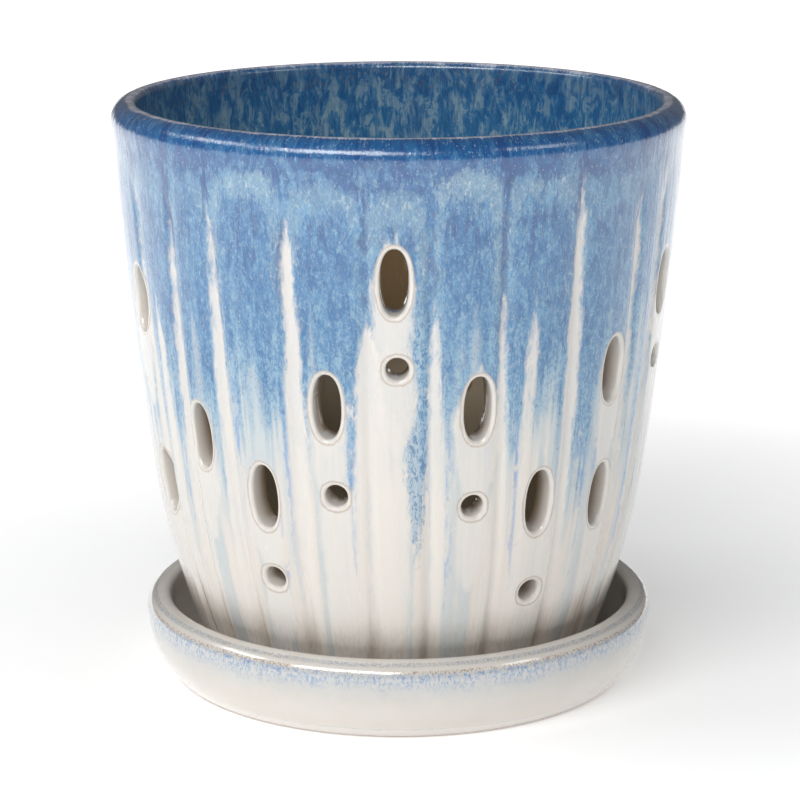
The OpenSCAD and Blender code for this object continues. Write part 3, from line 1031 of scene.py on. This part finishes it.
class ORCHIDPOT_OT_saucer(bpy.types.Operator):
    """Build the saucer, ring by ring from its base to its floor"""

    bl_idname = "orchidpot.saucer"
    bl_label = "Build Saucer"

    def execute(self, context):
        first, rings = saucer_rings()
        bpy.ops.object.select_all(action="DESELECT")
        bpy.ops.mesh.primitive_circle_add(vertices=192, radius=first * MM, fill_type="NGON")
        saucer = context.object
        bpy.ops.object.mode_set(mode="EDIT")
        bpy.ops.mesh.select_mode(type="EDGE")
        select_edges(saucer.data, lambda e: e.is_boundary)
        draw_rings(rings, first, 0.0, 0.0)
        bpy.ops.mesh.edge_face_add()
        bpy.ops.mesh.select_all(action="SELECT")
        bpy.ops.mesh.normals_make_consistent(inside=False)
        bpy.ops.object.mode_set(mode="OBJECT")
        note_rim_distance(saucer, rings)
        saucer.data.materials.append(cream_glaze(chosen_tones(context.scene)))
        finish_piece(saucer, "saucer_dish", "saucer", 40)
        return {"FINISHED"}


def build_camera(scene):
    """The photograph's view: a long lens, a little above the rim."""
    away, height, down = 0.8174, 0.2863, math.radians(14.16)
    focal_px, axis_px, image_px = 2861.9, 398.8, 800
    bpy.ops.object.camera_add(location=(0, -away, height), rotation=(math.pi / 2 - down, 0, 0))
    camera = bpy.context.object
    camera.name = "photo_camera"
    camera.data.sensor_width = 36
    camera.data.lens = focal_px / image_px * 36
    camera.data.shift_x = (image_px / 2 - axis_px) / image_px
    camera.data.clip_start, camera.data.clip_end = 0.05, 20
    scene.camera = camera


# Soft boxes, seen as the long white lines on the lip's shoulder: name, place
# and size in metres, and power in watts. All face the pot's middle.
SOFTBOXES = (
    ("front_softbox", (-0.39, -0.83, 0.77), (0.9, 0.3), 7.4),
    ("left_softbox", (-0.92, -0.08, 0.77), (0.5, 0.24), 2.0),
    ("right_softbox", (0.81, -0.43, 0.77), (0.3, 0.24), 1.0),
)
SOFTBOX_AIM = (0, 0, 0.1)


def add_softbox(name, place, size, power):
    """A rectangular area light that faces the pot."""
    direction = Vector(SOFTBOX_AIM) - Vector(place)
    bpy.ops.object.light_add(
        type="AREA", location=place, rotation=direction.to_track_quat("-Z", "Y").to_euler())
    light = bpy.context.object
    light.name = name
    light.data.shape = "RECTANGLE"
    light.data.size, light.data.size_y = size
    light.data.energy = power


class ORCHIDPOT_OT_stage(bpy.types.Operator):
    """Set the camera, the soft lights and the pale floor"""

    bl_idname = "orchidpot.stage"
    bl_label = "Build Stage"

    def execute(self, context):
        scene = context.scene
        build_camera(scene)
        scene.view_settings.view_transform = "Standard"
        bpy.ops.object.select_all(action="DESELECT")
        bpy.ops.mesh.primitive_plane_add(size=6, location=(0, 0, 0))
        floor = context.object
        floor.name = "studio_floor"
        material, tree = new_material("white paper sweep, lit from below")
        place = add_node(tree, "TexCoord", out="Object")
        away = add_node(tree, "VectorMath", {0: place}, out="Value", operation="LENGTH")
        # The floor glows as painted light, dimmer near the pot than far off
        glow = add_node(tree, "MapRange", {
            "Value": away, "From Min": 0.09, "From Max": 0.5, "To Min": 0.33, "To Max": 1.0})
        shader = add_node(tree, "BsdfPrincipled", {
            "Base Color": linear("#fafafa"), "Roughness": 0.9,
            "Emission Color": (1, 1, 1, 1), "Emission Strength": glow})
        add_node(tree, "OutputMaterial", {"Surface": shader})
        floor.data.materials.append(material)
        for name, place, size, power in SOFTBOXES:
            add_softbox(name, place, size, power)
        world = bpy.data.worlds.new("studio tent")
        world.use_nodes = True
        background = world.node_tree.nodes["Background"]
        background.inputs["Color"].default_value = (1, 1, 1, 1)
        background.inputs["Strength"].default_value = 0.14
        scene.world = world
        return {"FINISHED"}


class ORCHIDPOT_PT_panel(bpy.types.Panel):
    """Sidebar panel with the sizes, the colours and the build buttons"""

    bl_label = "Orchid Pot"
    bl_idname = "ORCHIDPOT_PT_panel"
    bl_space_type = "VIEW_3D"
    bl_region_type = "UI"
    bl_category = "Orchid Pot"

    def draw(self, context):
        for group in (context.scene.orchid_pot_sizes, context.scene.orchid_pot_tones):
            for name in type(group).__annotations__:
                self.layout.prop(group, name)
        for operator in OPERATORS:
            self.layout.operator(operator.bl_idname)


OPERATORS = (ORCHIDPOT_OT_pot, ORCHIDPOT_OT_saucer, ORCHIDPOT_OT_stage)
CLASSES = (OrchidPotSizes, OrchidPotTones, *OPERATORS, ORCHIDPOT_PT_panel)


def register():
    for cls in CLASSES:
        bpy.utils.register_class(cls)
    bpy.types.Scene.orchid_pot_sizes = PointerProperty(type=OrchidPotSizes)
    bpy.types.Scene.orchid_pot_tones = PointerProperty(type=OrchidPotTones)


def unregister():
    del bpy.types.Scene.orchid_pot_tones
    del bpy.types.Scene.orchid_pot_sizes
    for cls in reversed(CLASSES):
        bpy.utils.unregister_class(cls)


def main():
    register()
    bpy.ops.orchidpot.pot()
    bpy.ops.orchidpot.saucer()
    bpy.ops.orchidpot.stage()


if __name__ == "__main__":
    main()
